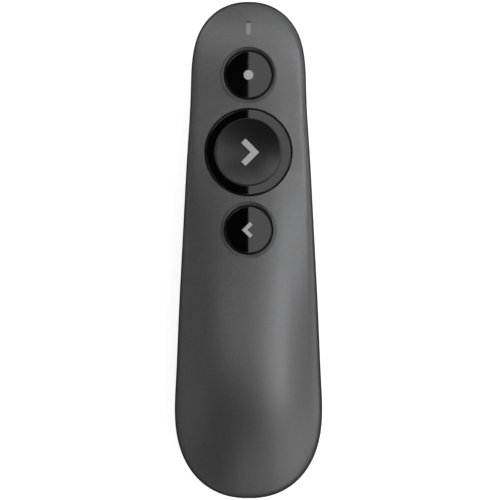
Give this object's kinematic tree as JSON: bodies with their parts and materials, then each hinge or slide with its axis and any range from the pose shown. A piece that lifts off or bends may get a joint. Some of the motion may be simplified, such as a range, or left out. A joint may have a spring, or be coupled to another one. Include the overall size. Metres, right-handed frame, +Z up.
{
  "type": "wireless presentation clicker",
  "caption": "Hand-held wireless presentation clicker with next, back and laser buttons, a status light, a sliding battery door and a stowed USB receiver.",
  "frame": {"origin": "middle of the footprint, on the surface that the clicker rests on", "axes": "+Z up out of the button face, +Y along the length towards the laser end, +X to the right seen from above with the laser end away"},
  "size_m": [0.0412, 0.139, 0.0283],
  "materials": {
    "graphite_cover": "satin, fine moulded grain",
    "black_gloss": "polished",
    "receiver_black": "fine grain",
    "light_grey_diffuser": "translucent, satin",
    "smoked_window": "clear, smoked",
    "switch_black": "moulded",
    "plunger_white": "moulded",
    "spring_steel": "bright",
    "contact_nickel": "nickel plate",
    "board_green": "solder mask",
    "chip_black": "moulded epoxy",
    "crystal_can": "drawn can",
    "ferrite": "sintered",
    "capacitor_can": "drawn can",
    "led_white": "moulded",
    "barrel_brass": "turned",
    "lens_clear": "clear",
    "diode_can": "gold flash",
    "wire_red": "insulated wire",
    "wire_black": "insulated wire",
    "cell_wrap": "printed film over a steel can",
    "plug_steel": "stamped, plated",
    "tongue_black": "moulded",
    "contact_gold": "gold flash",
    "screw_zinc": "black zinc"
  },
  "bodies": {
    "casing": {"top_cover": "graphite_cover", "rear_cover": "graphite_cover", "light_pipe": "light_grey_diffuser", "laser_window": "smoked_window", "laser_switch": "switch_black", "next_switch": "switch_black", "back_switch": "switch_black", "laser_dome": "spring_steel", "next_dome": "spring_steel", "back_dome": "spring_steel", "negative_spring": "spring_steel", "bridge_spring": "spring_steel", "positive_contact": "contact_nickel", "negative_contact": "contact_nickel", "bridge_contact": "contact_nickel", "main_board": "board_green", "laser_board": "board_green", "radio_chip": "chip_black", "crystal": "crystal_can", "boost_inductor": "ferrite", "filter_capacitor": "capacitor_can", "status_led": "led_white", "laser_barrel": "barrel_brass", "laser_lens": "lens_clear", "laser_diode": "diode_can", "laser_wire_red": "wire_red", "laser_wire_black": "wire_black", "battery_left": "cell_wrap", "battery_right": "cell_wrap", "case_screws": "screw_zinc", "board_screws": "screw_zinc"},
    "laser_key": {"laser_button": "black_gloss", "laser_plunger": "plunger_white"},
    "next_key": {"next_button": "black_gloss", "next_plunger": "plunger_white"},
    "back_key": {"back_button": "black_gloss", "back_plunger": "plunger_white"},
    "door": {"battery_door": "graphite_cover"},
    "receiver": {"receiver_housing": "receiver_black", "receiver_plug": "plug_steel", "receiver_tongue": "tongue_black", "receiver_contacts": "contact_gold"}
  },
  "joints": [
    {"name": "laser_press", "type": "slide", "parent": "casing", "child": "laser_key", "axis": [0, 0, -1], "range_m": [0, 0.0005], "stiffness_N_per_m": 2400, "springref_m": -0.0002, "deforming": ["laser_dome"]},
    {"name": "next_press", "type": "slide", "parent": "casing", "child": "next_key", "axis": [0, 0, -1], "range_m": [0, 0.0005], "stiffness_N_per_m": 2400, "springref_m": -0.0002, "deforming": ["next_dome"]},
    {"name": "back_press", "type": "slide", "parent": "casing", "child": "back_key", "axis": [0, 0, -1], "range_m": [0, 0.0005], "stiffness_N_per_m": 2400, "springref_m": -0.0002, "deforming": ["back_dome"]},
    {"name": "door_slide", "type": "slide", "parent": "casing", "child": "door", "axis": [0, -1, 0], "range_m": [0, 0.0045]},
    {"name": "receiver_slide", "type": "slide", "parent": "casing", "child": "receiver", "axis": [0, -1, 0], "range_m": [0, 0.0189]}
  ]
}
